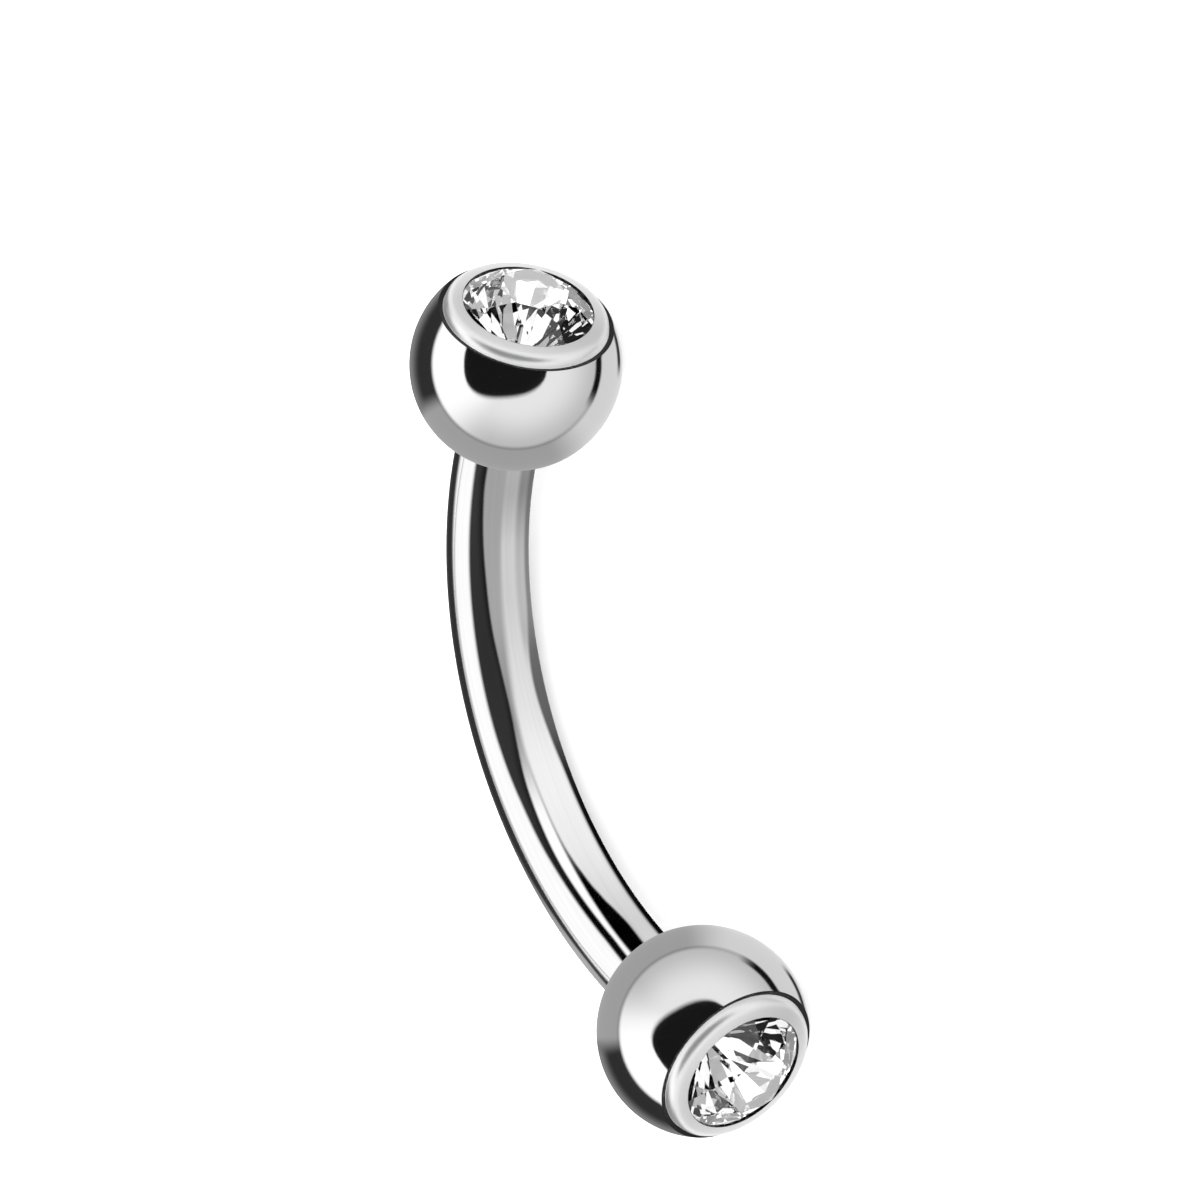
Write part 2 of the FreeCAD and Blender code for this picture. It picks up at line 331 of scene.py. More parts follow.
def steel_material(finish):
    """Mirror-polished steel with faint turning marks, a satin collar and painted shade in its
    hollows.

    The balls carry attributes: turned is the distance along the outline in millimetres, satin is 1
    on the collar, and the third attribute is 1 in the bore, the groove and the socket, whose
    near-black colour is painted shade. The bar has none, so all are 0.
    """
    material, maker = new_material("polished_surgical_steel")
    place = maker.add("ShaderNodeTexCoord")[OBJECT_PLACE]
    turned, satin, painted_shade = (
        maker.add("ShaderNodeAttribute", {"attribute_name": name})[ATTRIBUTE_NUMBER]
        for name in ("turned", "satin", "painted_shade")
    )
    haze = maker.noise(place, HAZE_SCALE, detail=4.0)
    grain = maker.noise(place, GRAIN_SCALE, detail=2.0)
    wear = maker.noise(place, WEAR_SCALE, detail=3.0, distortion=WEAR_DISTORTION)
    values = {"W": turned, "Scale": MARKS_SCALE, "Detail": 3.0}
    marks = maker.one("ShaderNodeTexNoise", values, noise_dimensions="1D")
    satin_roughness = marks * SATIN_SPREAD + wear * SATIN_SPREAD + SATIN_ROUGHNESS
    least_roughness = finish.steel_roughness - (HAZE_ROUGHNESS + MARKS_ROUGHNESS) / 2
    polished_roughness = haze * HAZE_ROUGHNESS + marks * MARKS_ROUGHNESS + least_roughness
    roughness = maker.between(polished_roughness, satin_roughness, satin)
    roughness = maker.between(roughness, SHADED_ROUGHNESS, painted_shade)
    relief = grain + marks * (satin * SATIN_MARKS + POLISHED_MARKS)
    values = {"Strength": RELIEF_STRENGTH, "Distance": RELIEF_DEPTH, "Height": relief}
    bump = maker.one("ShaderNodeBump", values)
    colour_here = maker.mix_colour(haze, opaque(finish.steel, STEEL_KEPT), opaque(finish.steel))
    # Painted shade: the bore, the groove and the socket are darkened to near black.
    colour_here = maker.mix_colour(painted_shade, colour_here, opaque(finish.painted_shade_steel))
    values = {
        "Base Color": colour_here,
        "Metallic": 1.0 - satin * finish.satin_grey,
        "Roughness": roughness,
        "Normal": bump,
    }
    maker.show(maker.one("ShaderNodeBsdfPrincipled", values))
    return material


def stone_material(name, shade, kept, scale, spread, least, others):
    """A surface of the stone, whose colour and roughness vary a little from spot to spot.

    Mirror rays from afar pass through it, so that a ball doesn't show a stone.
    """
    material, maker = new_material(name)
    place = maker.add("ShaderNodeTexCoord")[OBJECT_PLACE]
    haze = maker.noise(place, scale, detail=3.0)
    colour_here = maker.mix_colour(haze, opaque(shade, kept), opaque(shade))
    values = {"Base Color": colour_here, "Roughness": haze * spread + least, **others}
    shader = maker.one("ShaderNodeBsdfPrincipled", values)
    rays = maker.named("ShaderNodeLightPath")
    from_afar = rays["Is Glossy Ray"] * rays["Ray Length"].math("GREATER_THAN", NEAR_REACH)
    clear = maker.one("ShaderNodeBsdfTransparent")
    maker.show(maker.one("ShaderNodeMixShader", [from_afar, shader, clear]))
    return material


def crystal_material(finish):
    """Clear crystal seen through its crown, with a breath of polishing haze on its facets."""
    return stone_material(
        "clear_crystal_crown",
        finish.crystal,
        kept=0.97,
        scale=2500.0,
        spread=0.01,
        least=0.0,
        others={"IOR": CRYSTAL_IOR, "Transmission Weight": 1.0},
    )


def foil_material(finish):
    """The mirror foil on the back of the stone, a little uneven as sprayed foil is."""
    return stone_material(
        "foiled_crystal_back",
        finish.foil,
        kept=0.92,
        scale=9000.0,
        spread=0.03,
        least=0.005,
        others={"Metallic": 1.0},
    )


# Mesh helpers


def new_object(name, mesh):
    piece = bpy.data.objects.new(name, mesh)
    bpy.context.scene.collection.objects.link(piece)
    return piece


def bake_nodes(piece, tree, values):
    """Gives piece the mesh that a tree makes of it, with the inputs set by identifier."""
    modifier = piece.modifiers.new("shape", "NODES")
    modifier.node_group = tree
    for item in tree.interface.items_tree:
        if item.item_type == "SOCKET" and item.in_out == "INPUT" and item.name in values:
            modifier[item.identifier] = values[item.name]
    piece.update_tag()
    view = bpy.context.evaluated_depsgraph_get()
    mesh = bpy.data.meshes.new_from_object(piece.evaluated_get(view))
    piece.modifiers.remove(modifier)
    piece.data = mesh


def new_tree(name, **inputs):
    """A geometry node tree, its maker and its inputs by name. inputs lists names by kind."""
    tree = bpy.data.node_groups.new(name, "GeometryNodeTree")
    maker = NodeMaker(tree)
    tree.interface.new_socket("Geometry", in_out="OUTPUT", socket_type="NodeSocketGeometry")
    for kind, labels in inputs.items():
        for label in labels:
            tree.interface.new_socket(label, in_out="INPUT", socket_type=f"NodeSocket{kind}")
    return tree, maker, maker.named("NodeGroupInput")


def put_in_place(maker, names, shape):
    """Moves and turns a tree's shape by its Place and Turn inputs."""
    values = {"Geometry": shape, "Translation": names["Place"], "Rotation": names["Turn"]}
    shape = maker.one("GeometryNodeTransform", values)
    return maker.one("GeometryNodeRealizeInstances", {"Geometry": shape})


def end_matrix(side):
    """From a ball's own frame, with Z along its axis, to the shared frame."""
    axis = BALL_AXIS[side]
    sign = 1.0 if side == "upper" else -1.0
    across = BEND_NORMAL * -sign
    third = axis.cross(across)
    turn = Matrix((across, third, axis)).transposed().to_4x4()
    return Matrix.Translation(BALL_CENTRE[side]) @ turn


def seat_level(bar, ball):
    """Level of the flat seat on which the ball meets the bar's shoulder."""
    return -math.sqrt(ball.radius**2 - bar.radius**2)


# Bar

# The faces of the bar's skin have this many sides at most, and its ends have more.
SKIN_SIDES = 4


def bar_tree(material):
    """A bent bar swept along an arc, with a shoulder, a post and a chamfer at both ends."""
    post = ("Post Share", "Post Straight", "Chamfer", "Chamfer Share")
    tree, maker, names = new_tree(
        "bent_bar",
        Float=("Bend Radius", "Half Bend", "Bar Radius", *post),
        Int=("Steps Along", "Steps Round"),
        Vector=("Place", "Turn"),
    )
    values = {
        "Resolution": names["Steps Along"],
        "Radius": names["Bend Radius"],
        "Start Angle": math.pi / 2 - names["Half Bend"],
        "Sweep Angle": names["Half Bend"] * 2.0,
    }
    arc = maker.one("GeometryNodeCurveArc", values, mode="RADIUS")
    values = {"Resolution": names["Steps Round"], "Radius": names["Bar Radius"]}
    circle = maker.one("GeometryNodeCurvePrimitiveCircle", values, mode="RADIUS")
    values = {"Curve": arc, "Profile Curve": circle, "Fill Caps": True}
    shape = maker.one("GeometryNodeCurveToMesh", values)
    sides = maker.one("GeometryNodeInputMeshFaceNeighbors")
    settings = {"data_type": "INT", "operation": "GREATER_THAN"}
    values = {"A": sides, "B": SKIN_SIDES}
    chosen = maker.add("FunctionNodeCompare", settings, values)[0]
    steps = (
        (0.0, names["Post Share"]),
        (names["Post Straight"], 1.0),
        (names["Chamfer"], names["Chamfer Share"]),
    )
    for rise, shrink in steps:
        shape, chosen, _ = maker.add(
            "GeometryNodeExtrudeMesh",
            {"mode": "FACES"},
            {"Mesh": shape, "Selection": chosen, "Offset Scale": rise, "Individual": True},
        )
        values = {"Geometry": shape, "Selection": chosen, "Scale": shrink}
        shape = maker.one("GeometryNodeScaleElements", values, domain="FACE")
    bend = maker.one("GeometryNodeInputMeshEdgeAngle")
    values = {"A": bend, "B": SHARP_ANGLE}
    flat = maker.one("FunctionNodeCompare", values, operation="LESS_THAN")
    values = {"Geometry": shape, "Shade Smooth": flat}
    shape = maker.one("GeometryNodeSetShadeSmooth", values, domain="EDGE")
    shape = put_in_place(maker, names, shape)
    shape = maker.one("GeometryNodeSetMaterial", {"Geometry": shape, "Material": material})
    maker.add("NodeGroupOutput", None, {"Geometry": shape})
    return tree


def make_bar(scene, material):
    bar, ball = scene.barbell_bar, scene.barbell_ball
    reach = ball.seat_gap - seat_level(bar, ball)
    end = BALL_CENTRE["upper"] - BALL_AXIS["upper"] * reach
    bend_radius = end.dot(CHORD) / math.sin(HALF_BEND)
    out = CHORD * math.sin(HALF_BEND) + BULGE * math.cos(HALF_BEND)
    turn = Matrix((CHORD, BULGE, BEND_NORMAL)).transposed().to_euler()
    tree = bar_tree(material)
    piece = new_object("polished_bar", bpy.data.meshes.new("polished_bar"))
    bake_nodes(
        piece,
        tree,
        {
            "Bend Radius": bend_radius,
            "Half Bend": HALF_BEND,
            "Bar Radius": bar.radius,
            "Post Share": bar.post_radius / bar.radius,
            "Post Straight": bar.post_length - bar.post_chamfer,
            "Chamfer": bar.post_chamfer,
            "Chamfer Share": 1.0 - bar.post_chamfer / bar.post_radius,
            "Steps Along": bar.steps_along,
            "Steps Round": bar.steps_round,
            "Place": end - out * bend_radius,
            "Turn": Vector(turn),
        },
    )
    return piece


# Balls


def ball_outline(bar, ball):
    """The ball's corners from the end of the bore to the floor of the socket.

    A corner is its radius and level, how far back its rounding starts and the finish of the side
    that begins there. The side that begins at the rim of the mouth is part of the ball's circle.
    """
    mouth = seat_level(bar, ball)
    groove_edge = math.sqrt(ball.radius**2 - ball.groove_radius**2)
    # The bore, the groove and the socket are marked for painted shade, a near-black colour in the
    # steel.
    return [
        (0.0, ball.bore_end, 0.0, "painted_shade"),
        (ball.bore_radius, ball.bore_end, 0.0, "painted_shade"),
        (ball.bore_radius, mouth, ball.edge_round, "polished"),
        (bar.radius, mouth, ball.edge_round, "polished"),
        (ball.groove_radius, groove_edge, ball.edge_round, "painted_shade"),
        (ball.collar_radius, ball.groove_level, ball.edge_round, "satin"),
        (ball.collar_radius, ball.collar_level, ball.collar_round, "satin"),
        (ball.opening_radius, ball.opening_level, ball.edge_round, "painted_shade"),
        (ball.opening_radius, ball.lip_level, 0.0, "painted_shade"),
        (ball.socket_radius, ball.socket_top, 0.0, "painted_shade"),
        (ball.socket_radius, ball.socket_low, 0.0, "painted_shade"),
        (ball.floor_radius, 0.0, 0.0, "painted_shade"),
        (0.0, 0.0, 0.0, "painted_shade"),
    ]


def ball_profile(bar, ball):
    """The outline as a list of (radius and level, finish of the stretch that begins there)."""
    corners = ball_outline(bar, ball)
    # The number of the side that is part of the ball's circle.
    arc_side = 3
    ends = corners[arc_side : arc_side + 2]
    first, last = (math.atan2(level, radius) for radius, level, _, _ in ends)

    def on_arc(angle):
        return Vector((math.cos(angle), math.sin(angle))) * ball.radius

    def along(side, distance, from_end):
        """The point of a side at a distance from one of its ends."""
        if side == arc_side:
            angle = distance / ball.radius
            return on_arc(last - angle if from_end else first + angle)
        here, there = (Vector(corner[:2]) for corner in corners[side : side + 2])
        if from_end:
            here, there = there, here
        return here + (there - here).normalized() * distance

    points = [(Vector(corners[0][:2]), corners[0][3])]
    for number, (radius, level, rounding, finish) in enumerate(corners[1:-1], start=1):
        if number - 1 == arc_side:
            start = first + corners[number - 1][2] / ball.radius
            end = last - rounding / ball.radius
            for step in range(1, ball.steps_arc):
                angle = start + (end - start) * step / ball.steps_arc
                points.append((on_arc(angle), corners[number - 1][3]))
        corner = Vector((radius, level))
        if rounding == 0.0:
            points.append((corner, finish))
            continue
        before = along(number - 1, rounding, True)
        after = along(number, rounding, False)
        for step in range(ball.steps_edge + 1):
            way = step / ball.steps_edge
            point = before * (1 - way) ** 2 + corner * 2 * way * (1 - way) + after * way**2
            points.append((point, finish))
    points.append((Vector(corners[-1][:2]), corners[-1][3]))
    return points


def lathe(name, profile, steps):
    """A closed solid turned about Z from a profile that starts and ends on the axis.

    The faces carry the finishes satin and shaded, and the points the distance along the profile.
    """
    form = bmesh.new()
    turned = form.verts.layers.float.new("turned")
    finishes = {kind: form.faces.layers.float.new(kind) for kind in ("satin", "painted_shade")}
    rings = []
    distance = 0.0
    for (before, _), ((radius, level), _) in zip(profile, profile[1:-1]):
        distance += (Vector((radius, level)) - before).length
        ring = []
        for step in range(steps):
            angle = 2 * math.pi * step / steps
            vert = form.verts.new((radius * math.cos(angle), radius * math.sin(angle), level))
            vert[turned] = distance * MILLIMETRES
            ring.append(vert)
        rings.append(ring)

    def add_face(verts, finish):
        face = form.faces.new(verts)
        face.smooth = True
        if finish in finishes:
            face[finishes[finish]] = 1.0

    poles = [form.verts.new((0.0, 0.0, profile[end][0].y)) for end in (0, -1)]
    for pole, ring, end in zip(poles, (rings[0], rings[-1]), (0, -1)):
        for step in range(steps):
            add_face((pole, ring[step], ring[(step + 1) % steps]), profile[end][1])
    for inner, outer, (_, finish) in zip(rings, rings[1:], profile[1:]):
        for step in range(steps):
            after = (step + 1) % steps
            add_face((inner[step], inner[after], outer[after], outer[step]), finish)
    bmesh.ops.recalc_face_normals(form, faces=form.faces)
    for edge in form.edges:
        edge.smooth = edge.calc_face_angle(0.0) < SHARP_ANGLE
    mesh = bpy.data.meshes.new(name)
    form.to_mesh(mesh)
    form.free()
    return mesh


def make_ball(scene, side, material):
    ball = scene.barbell_ball
    name = f"{side}_polished_ball"
    mesh = lathe(name, ball_profile(scene.barbell_bar, ball), ball.steps_round)
    mesh.transform(end_matrix(side))
    mesh.materials.append(material)
    return new_object(name, mesh)


# Stones


def stone_slice(stone):
    """One slice of the round brilliant, centred on a main facet, without its cut sides."""
    half = math.pi / stone.folds
    quarter = half / 2
    girdle, top, low = stone.girdle_radius, stone.girdle_top, stone.girdle_low
    crown = (stone.table_level - top) / (girdle - stone.table_radius)
    pavilion = math.tan(stone.pavilion_slope)
    star_in = stone.table_radius * math.cos(half)
    star_tip = star_in + (girdle - star_in) * stone.star_reach
    tip_level = top + (girdle - star_tip * math.cos(half)) * crown
    low_tip = stone.lower_half_radius
    low_drop = (girdle - low_tip * math.cos(half)) * pavilion
    upper_slope = (tip_level - top) / ((girdle - star_tip) * math.cos(quarter))
    lower_slope = low_drop / ((girdle - low_tip) * math.cos(quarter))
    form = bmesh.new()

    def point(radius, angle, level):
        return form.verts.new((radius * math.cos(angle), radius * math.sin(angle), level))

    table_middle = point(0.0, 0.0, stone.table_level)
    culet = point(0.0, 0.0, low - girdle * pavilion)
    table_corner = point(stone.table_radius, 0.0, stone.table_level)
    middle_top = point(girdle, 0.0, top)
    middle_low = point(girdle, 0.0, low)
    table_side, star, low_side = {}, {}, {}
    for sign in (-1, 1):
        table_side[sign] = point(star_in, sign * half, stone.table_level)
        star[sign] = point(star_tip, sign * half, tip_level)
        low_side[sign] = point(low_tip, sign * half, low - low_drop)
        crown_edge, pavilion_edge = [middle_top], [middle_low]
        for step in range(1, stone.girdle_steps + 1):
            angle = half * step / stone.girdle_steps
            sag = girdle * (math.cos(angle - quarter) - math.cos(quarter))
            crown_edge.append(point(girdle, sign * angle, top - sag * upper_slope))
            pavilion_edge.append(point(girdle, sign * angle, low + sag * lower_slope))
        form.faces.new((table_middle, table_corner, table_side[sign]))
        form.faces.new((table_corner, star[sign], table_side[sign]))
        form.faces.new((star[sign], *crown_edge))
        form.faces.new((low_side[sign], *pavilion_edge))
        for step in range(stone.girdle_steps):
            form.faces.new((*crown_edge[step : step + 2], *pavilion_edge[step : step + 2][::-1]))
    form.faces.new((table_corner, star[-1], middle_top, star[1]))
    form.faces.new((culet, low_side[-1], middle_low, low_side[1]))
    for face in form.faces:
        face.normal_update()
        outward = face.calc_center_median() - Vector((0.0, 0.0, (top + low) / 2))
        if face.normal.dot(outward) < 0:
            face.normal_flip()
    mesh = bpy.data.meshes.new("stone_slice")
    form.to_mesh(mesh)
    form.free()
    return mesh


def stone_tree(crown, back):
    """Repeats a slice round the axis, joins the slices and gives the facets their materials."""
    tree, maker, names = new_tree(
        "round_brilliant",
        Geometry=("Slice",),
        Int=("Folds",),
        Float=("Weld", "Back Below"),
        Vector=("Axis", "Place", "Turn"),
    )
    points = maker.one("GeometryNodePoints", {"Count": names["Folds"]})
    number = maker.one("GeometryNodeInputIndex")
    angle = number * (2 * math.pi) / names["Folds"]
    euler = maker.one("ShaderNodeCombineXYZ", {"Z": angle})
    turn = maker.one("FunctionNodeEulerToRotation", {"Euler": euler})
    values = {"Points": points, "Instance": names["Slice"], "Rotation": turn}
    shape = maker.one("GeometryNodeInstanceOnPoints", values)
    shape = maker.one("GeometryNodeRealizeInstances", {"Geometry": shape})
    values = {"Geometry": shape, "Distance": names["Weld"]}
    shape = maker.one("GeometryNodeMergeByDistance", values)
    shape = put_in_place(maker, names, shape)
    normal = maker.one("GeometryNodeInputNormal")
    facing = maker.vector_math("DOT_PRODUCT", normal, names["Axis"])
    values = {"A": facing, "B": names["Back Below"]}
    is_back = maker.one("FunctionNodeCompare", values, operation="LESS_THAN")
    shape = maker.one("GeometryNodeSetMaterial", {"Geometry": shape, "Material": crown})
    values = {"Geometry": shape, "Selection": is_back, "Material": back}
    shape = maker.one("GeometryNodeSetMaterial", values)
    maker.add("NodeGroupOutput", None, {"Geometry": shape})
    return tree


def make_stone(scene, side, tree):
    stone = scene.barbell_stone
    turn = stone.turn if side == "upper" else -stone.turn
    place = end_matrix(side) @ Matrix.Rotation(turn, 4, "Z")
    piece = new_object(f"{side}_brilliant", stone_slice(stone))
    bake_nodes(
        piece,
        tree,
        {
            "Folds": stone.folds,
            "Weld": stone.weld,
            "Axis": BALL_AXIS[side].copy(),
            "Back Below": stone.back_below,
            "Place": place.translation.copy(),
            "Turn": Vector(place.to_euler()),
        },
    )
    form = bmesh.new()
    form.from_mesh(piece.data)
    bmesh.ops.dissolve_limit(
        form, angle_limit=FLAT_ANGLE, verts=form.verts, edges=form.edges, delimit={"MATERIAL"}
    )
    form.to_mesh(piece.data)
    form.free()
    return piece


# Stage

FLOOR_ROUGHNESS = 0.9
FLOOR_SEGMENTS = 4
# The camera sees from its distance divided by this to its distance times this.
CLIP_RANGE = 100


def make_floor(stage, finish):
    material, maker = new_material("pale_floor")
    values = {
        "Base Color": opaque(finish.floor),
        "Roughness": FLOOR_ROUGHNESS,
        "Specular IOR Level": 0.0,
    }
    shader = maker.one("ShaderNodeBsdfPrincipled", values)
    maker.show(shader)
    form = bmesh.new()
    half = stage.floor_width / 2
    bmesh.ops.create_grid(form, x_segments=FLOOR_SEGMENTS, y_segments=FLOOR_SEGMENTS, size=half)
    mesh = bpy.data.meshes.new("pale_floor")
    form.to_mesh(mesh)
    form.free()
    mesh.materials.append(material)
    floor = new_object("pale_floor", mesh)
    floor.visible_glossy = False
    floor.visible_transmission = False


def make_world(stage):
    """An even white surround for the floor and the backdrop. Mirrors see the tents instead."""
    world = bpy.data.worlds.new("soft_studio")
    bpy.context.scene.world = world
    world.use_nodes = True
    maker = NodeMaker(world.node_tree)
    rays = maker.named("ShaderNodeLightPath")
    mirrored = rays["Is Glossy Ray"].math("MAXIMUM", rays["Is Transmission Ray"])
    strength = maker.between(stage.light, 0.0, mirrored * (1.0 - rays["Is Diffuse Ray"]))
    values = {"Color": (1.0, 1.0, 1.0, 1.0), "Strength": strength}
    shader = maker.one("ShaderNodeBackground", values)
    maker.add("ShaderNodeOutputWorld", None, {"Surface": shader})


# Light tents

# The curve of an sRGB screen without its straight start, and the share of light steel reflects.
SCREEN_OFFSET, SCREEN_POWER, STEEL_SHARE = 0.055, 2.4, 0.8
TENT_SUBDIVISIONS = 4
# Each tent is wider than the one before it by this share of the smallest.
TENT_STEP = 0.1


def lit(shown):
    """The light that polished steel shows as this share of white on screen."""
    linear = ((shown + SCREEN_OFFSET) / (1.0 + SCREEN_OFFSET)) ** SCREEN_POWER
    return linear / STEEL_SHARE


# A part of a ball's tent is a light and the cloths over it. A cloth is its light and its bounds:
# a measure of the direction, where the cloth begins and where it covers fully. off_axis is the
# degrees from the viewer, and aside and above are to the right and upwards in the image.
SLANT = 0.25
LEFT_DARK = ("slant", -0.74, -0.88)
NOT_LEFT = ("aside", -0.66, -0.5)
FRONT = (
    lit(0.91),
    (1.3, ("aside", -0.45, -0.9)),
    (lit(0.74), ("off_axis", 45.0, 104.0), ("aside", -0.9, -0.3)),
)
BACK = (
    lit(0.62),
    (lit(0.82), ("aside", 0.35, 0.8)),
    (lit(0.18), LEFT_DARK),
    (lit(0.48), ("off_axis", 128.0, 160.0), LEFT_DARK),
    (lit(0.93), ("off_axis", 122.0, 140.0), ("above", 0.6, 0.9), NOT_LEFT),
)
COLLAR = (
    lit(0.6),
    (lit(0.93), ("off_axis", 106.0, 138.0)),
    (lit(0.93), ("aside", 0.0, -0.4)),
)
# A dark crescent at the seam and a dark card near the rim, both at the right.
SEAM_EDGES = (("off_axis", 95.0, 99.0), ("off_axis", 109.0, 105.0))
RIM_EDGES = (("off_axis", 142.0, 148.0), ("off_axis", 160.0, 154.0))
CARDS = (
    (lit(0.06), *SEAM_EDGES, ("aside", 0.84, 0.96), ("above", 0.25, 0.1)),
    (lit(0.2), *RIM_EDGES, ("aside", 0.8, 0.9), ("above", -0.15, 0.05)),
)
BACK_BOUNDS = [("off_axis", 101.0, 106.5)]
COLLAR_BOUNDS = [("above", 0.5, 0.75), ("off_axis", 84.0, 90.0), NOT_LEFT]
SEAM_BOUNDS, SEAM_SHARE = [("off_axis", 99.0, 104.0), ("off_axis", 109.0, 105.0)], 0.72
# The dark camera side is a rounded oblong, in degrees, that narrows to the right.
BLOB_LEFT, BLOB_HALF_WIDTH, BLOB_HALF_HEIGHT, BLOB_TAPER = 12.0, 46.0, 35.0, 0.08
BLOB_POWER, BLOB_SOFT_SIDES, BLOB_SOFT_TOP, BLOB_LIGHT = 2.6, 0.05, 0.25, lit(0.09)


def cover(maker, measures, bounds):
    """1 inside all the bounds and 0 outside any, smooth between."""
    return math.prod(maker.smooth(measures[name], start, end) for name, start, end in bounds)


def lay(maker, measures, level, *cloths):
    """The light where cloths lie over a level, the later ones on top."""
    for light, *bounds in cloths:
        level = maker.between(level, light, cover(maker, measures, bounds))
    return level


def ball_tent(maker, direction, right_way, up_way):
    """Brightness of the tent round a ball: a dark camera side, white cloths and a grey far side."""
    towards = maker.dot(direction, TO_VIEWER)
    off_axis = towards.math("ARCCOSINE") * math.degrees(1.0)
    spread = (1.0 - towards * towards).math("MAXIMUM", TINY).math("SQRT")
    aside = maker.dot(direction, right_way) / spread
    above = maker.dot(direction, up_way) / spread
    slant = aside - above * SLANT
    measures = {"off_axis": off_axis, "aside": aside, "above": above, "slant": slant}
    between = maker.between

    front, back, collar = (lay(maker, measures, *part) for part in (FRONT, BACK, COLLAR))
    level = between(front, back, cover(maker, measures, BACK_BOUNDS))
    level = between(level, collar, cover(maker, measures, COLLAR_BOUNDS))
    level = between(level, level * SEAM_SHARE, cover(maker, measures, SEAM_BOUNDS))
    level = lay(maker, measures, level, *CARDS)

    right, high = aside * off_axis, above * off_axis
    wide = (right + BLOB_LEFT) * (1 / BLOB_HALF_WIDTH)
    tall = high / (BLOB_HALF_HEIGHT - right * BLOB_TAPER)
    wide, tall = (part.math("ABSOLUTE").math("POWER", BLOB_POWER) for part in (wide, tall))
    soft = BLOB_SOFT_SIDES + tall.math("MINIMUM", 1.0) * BLOB_SOFT_TOP
    blob = maker.smooth((wide + tall - 1.0) / soft, 1.0, -1.0)
    return between(level, BLOB_LIGHT, blob)


# The cards round a stone are the cells of a fixed pattern, which the shifts choose. A cell whose
# random number passes a limit gets that limit's brightness.
CARDS_RIGHT, CARDS_UP, CARDS_SCALE = 20.0, 14.0, 2.6
DARK_CARD, CARD_LIMITS, LIMIT_WIDTH = 0.02, ((0.34, 0.55), (0.5, 1.3)), 0.001
# The lamp over the table: its direction, its rim, its light and what its cloudy cover adds.
LAMP_RIGHT, LAMP_UP, LAMP_NEAR = 0.218, 0.908, -0.358
LAMP_RIM, LAMP_LIGHT, CLOUD_LIGHT, CLOUD_SCALE = (0.85, 0.92), 2.0, 8.0, 14.0


def stone_tent(maker, direction, right_way, up_way):
    """Brightness of the tent round a stone: white cloths with dark and grey cards among them."""
    across = maker.dot(direction, right_way)
    upward = maker.dot(direction, up_way)
    towards = maker.dot(direction, TO_VIEWER)
    shifted = [across + CARDS_RIGHT, upward + CARDS_UP, towards]
    place = maker.one("ShaderNodeCombineXYZ", shifted)
    values = {"Vector": place, "Scale": CARDS_SCALE}
    cards = maker.add("ShaderNodeTexVoronoi", None, values)[CELL_COLOUR]
    card = maker.one("ShaderNodeSeparateColor", [cards])
    level = DARK_CARD
    for limit, brightness in CARD_LIMITS:
        level = maker.between(level, brightness, maker.smooth(card, limit, limit + LIMIT_WIDTH))
    lamp_way = right_way * LAMP_RIGHT + up_way * LAMP_UP + TO_VIEWER * LAMP_NEAR
    cloud = maker.noise(direction, CLOUD_SCALE, detail=3.0)
    lamp = maker.smooth(maker.dot(direction, lamp_way.normalized()), *LAMP_RIM)
    return level + lamp * (cloud * CLOUD_LIGHT + LAMP_LIGHT)


# The bands of the bar's tent from left to right, each over the ones before it: the line where it
# begins, the half width of that line's blur, its share of white and the places between which it
# fades in. The first three are one number or (place, number) points.
LEFT_RIM = ((0.05, 0.3), (0.7, 0.35), (0.88, 0.66))
DARK_LINE = (((0.05, -0.97), (0.75, -0.95), (0.92, -0.88)), 0.03, 0.19, None)
STRIP = (((0.05, -0.82), (0.75, -0.8), (0.92, -0.77)), 0.05, 1.0, None)
FLAG = (
    ((0.07, -0.44), (0.3, -0.455), (0.5, -0.455), (0.62, -0.4), (0.75, -0.33), (0.92, -0.22)),
    0.045,
    ((0.07, 0.22), (0.35, 0.19), (0.66, 0.2), (0.85, 0.08)),
    None,
)
GREY = (
    (
        (0.07, -0.13), (0.2, -0.06), (0.33, 0.0), (0.43, 0.06), (0.5, 0.03), (0.58, -0.08),
        (0.68, -0.145), (0.79, -0.13), (0.93, -0.03),
    ),
    0.035,
    ((0.08, 0.64), (0.3, 0.66), (0.5, 0.6), (0.58, 0.8), (0.66, 1.0)),
    None,
)
THIN_FLAG = (
    0.085, 0.04, ((0.6, 0.7), (0.7, 0.62), (0.755, 0.4), (0.8, 0.1), (0.9, 0.01)), (0.52, 0.6)
)
CLOTH = (
    (
        (0.07, 0.34), (0.25, 0.31), (0.36, 0.27), (0.44, 0.2), (0.54, 0.13), (0.7, 0.13),
        (0.75, 0.155), (0.79, 0.21), (0.84, 0.29), (0.88, 0.38), (0.93, 0.48),
    ),
    ((0.1, 0.05), (0.4, 0.1), (0.55, 0.07), (0.7, 0.04)),
    ((0.07, 0.7), (0.16, 0.8), (0.3, 0.83), (0.5, 0.91), (0.62, 0.96), (0.8, 0.91), (0.92, 0.83)),
    None,
)
FAR_GREY = (0.68, 0.06, ((0.07, 0.56), (0.16, 0.7), (0.27, 0.74), (0.36, 0.72)), (0.42, 0.33))
RIGHT_RIM = (
    ((0.29, 0.89), (0.35, 0.82), (0.42, 0.745), (0.5, 0.78), (0.58, 0.85), (0.66, 0.87)),
    0.045,
    ((0.07, 0.44), (0.3, 0.52), (0.38, 0.42), (0.52, 0.36), (0.6, 0.14), (0.9, 0.04)),
    None,
)
BAR_BANDS = (DARK_LINE, STRIP, FLAG, GREY, THIN_FLAG, CLOTH, FAR_GREY, RIGHT_RIM)
